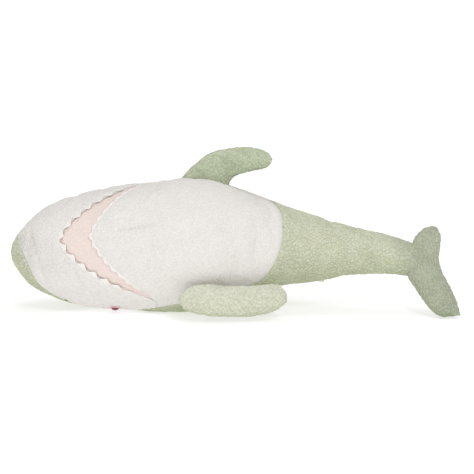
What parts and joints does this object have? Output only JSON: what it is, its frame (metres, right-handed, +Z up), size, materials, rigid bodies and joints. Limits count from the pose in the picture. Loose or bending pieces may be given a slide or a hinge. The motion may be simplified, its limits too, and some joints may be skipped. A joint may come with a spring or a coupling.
{
  "type": "plush shark",
  "caption": "Large stuffed plush shark lying on its side, with sewn cloth panels, felt teeth in an open mouth, soft fins and a twisted two-lobed tail.",
  "frame": {"origin": "centre of the flattened patch of the trunk that rests on the floor", "axes": "+X from the nose towards the tail, +Z up off the floor; the belly faces -Y and a little upwards"},
  "size_m": [0.9935, 0.3749, 0.359],
  "materials": {
    "white_plush": "matte",
    "green_plush": "matte",
    "pink_lining": "matte",
    "tooth_felt": "matte",
    "filling": "matte",
    "eye_plastic": "gloss",
    "blush_felt": "matte",
    "washer_plastic": "matte",
    "thread": "matte",
    "nostril_thread": "matte",
    "label_tape": "matte"
  },
  "bodies": {
    "trunk": {"trunk_back_cover_left": "green_plush", "trunk_back_cover_right": "green_plush", "belly_cover": "white_plush", "trunk_filling": "filling"},
    "head": {"closing_seam_thread": "thread", "head_back_cover_left": "green_plush", "head_back_cover_right": "green_plush", "snout_cover": "white_plush", "jaw_cover": "white_plush", "mouth_lining": "pink_lining", "teeth_upper": "tooth_felt", "teeth_lower": "tooth_felt", "head_filling": "filling", "eye_left": "eye_plastic", "eye_right": "eye_plastic", "eye_felt_left": "blush_felt", "eye_felt_right": "blush_felt", "eye_washer_left": "washer_plastic", "eye_washer_right": "washer_plastic", "nostril_stitch_left": "nostril_thread", "nostril_stitch_right": "nostril_thread"},
    "tail": {"tail_cover_left": "green_plush", "tail_cover_right": "green_plush", "tail_filling": "filling", "care_label": "label_tape"},
    "tail_fin": {"tail_fin_cover_left": "green_plush", "tail_fin_cover_right": "green_plush", "tail_fin_filling": "filling"},
    "dorsal_fin": {"dorsal_fin_cover_left": "green_plush", "dorsal_fin_cover_right": "green_plush", "dorsal_fin_filling": "filling"},
    "pectoral_left": {"pectoral_left_cover_back": "green_plush", "pectoral_left_cover_front": "green_plush", "pectoral_left_filling": "filling"},
    "pectoral_right": {"pectoral_right_cover_bottom": "green_plush", "pectoral_right_cover_top": "green_plush", "pectoral_right_filling": "filling"}
  },
  "joints": [
    {"name": "head_turn", "type": "hinge", "parent": "trunk", "child": "head", "pos_m": [-0.062, 0, 0.13938], "axis": [0, 0, 1], "range_deg": [-10, 10]},
    {"name": "tail_sway", "type": "hinge", "parent": "trunk", "child": "tail", "pos_m": [0.22, -0.01261, 0.14174], "axis": [0, 0, 1], "range_deg": [-20, 20]},
    {"name": "tail_fin_flex", "type": "hinge", "parent": "tail", "child": "tail_fin", "pos_m": [0.461, -0.04827, 0.12232], "axis": [0, 0, 1], "range_deg": [-20, 20]},
    {"name": "dorsal_fin_flop", "type": "hinge", "parent": "trunk", "child": "dorsal_fin", "pos_m": [0.0305, 0.1182, 0.0674], "axis": [0.985, -0.1559, 0.0737], "range_deg": [-4, 30]},
    {"name": "pectoral_left_flap", "type": "hinge", "parent": "trunk", "child": "pectoral_left", "pos_m": [0.019, 0.03581, 0.27869], "axis": [0.9924, -0.0188, -0.1217], "range_deg": [-35, 10]},
    {"name": "pectoral_right_flap", "type": "hinge", "parent": "trunk", "child": "pectoral_right", "pos_m": [0.019, -0.15274, 0.08981], "axis": [-0.9853, -0.1657, 0.0426], "range_deg": [-3, 45]}
  ]
}
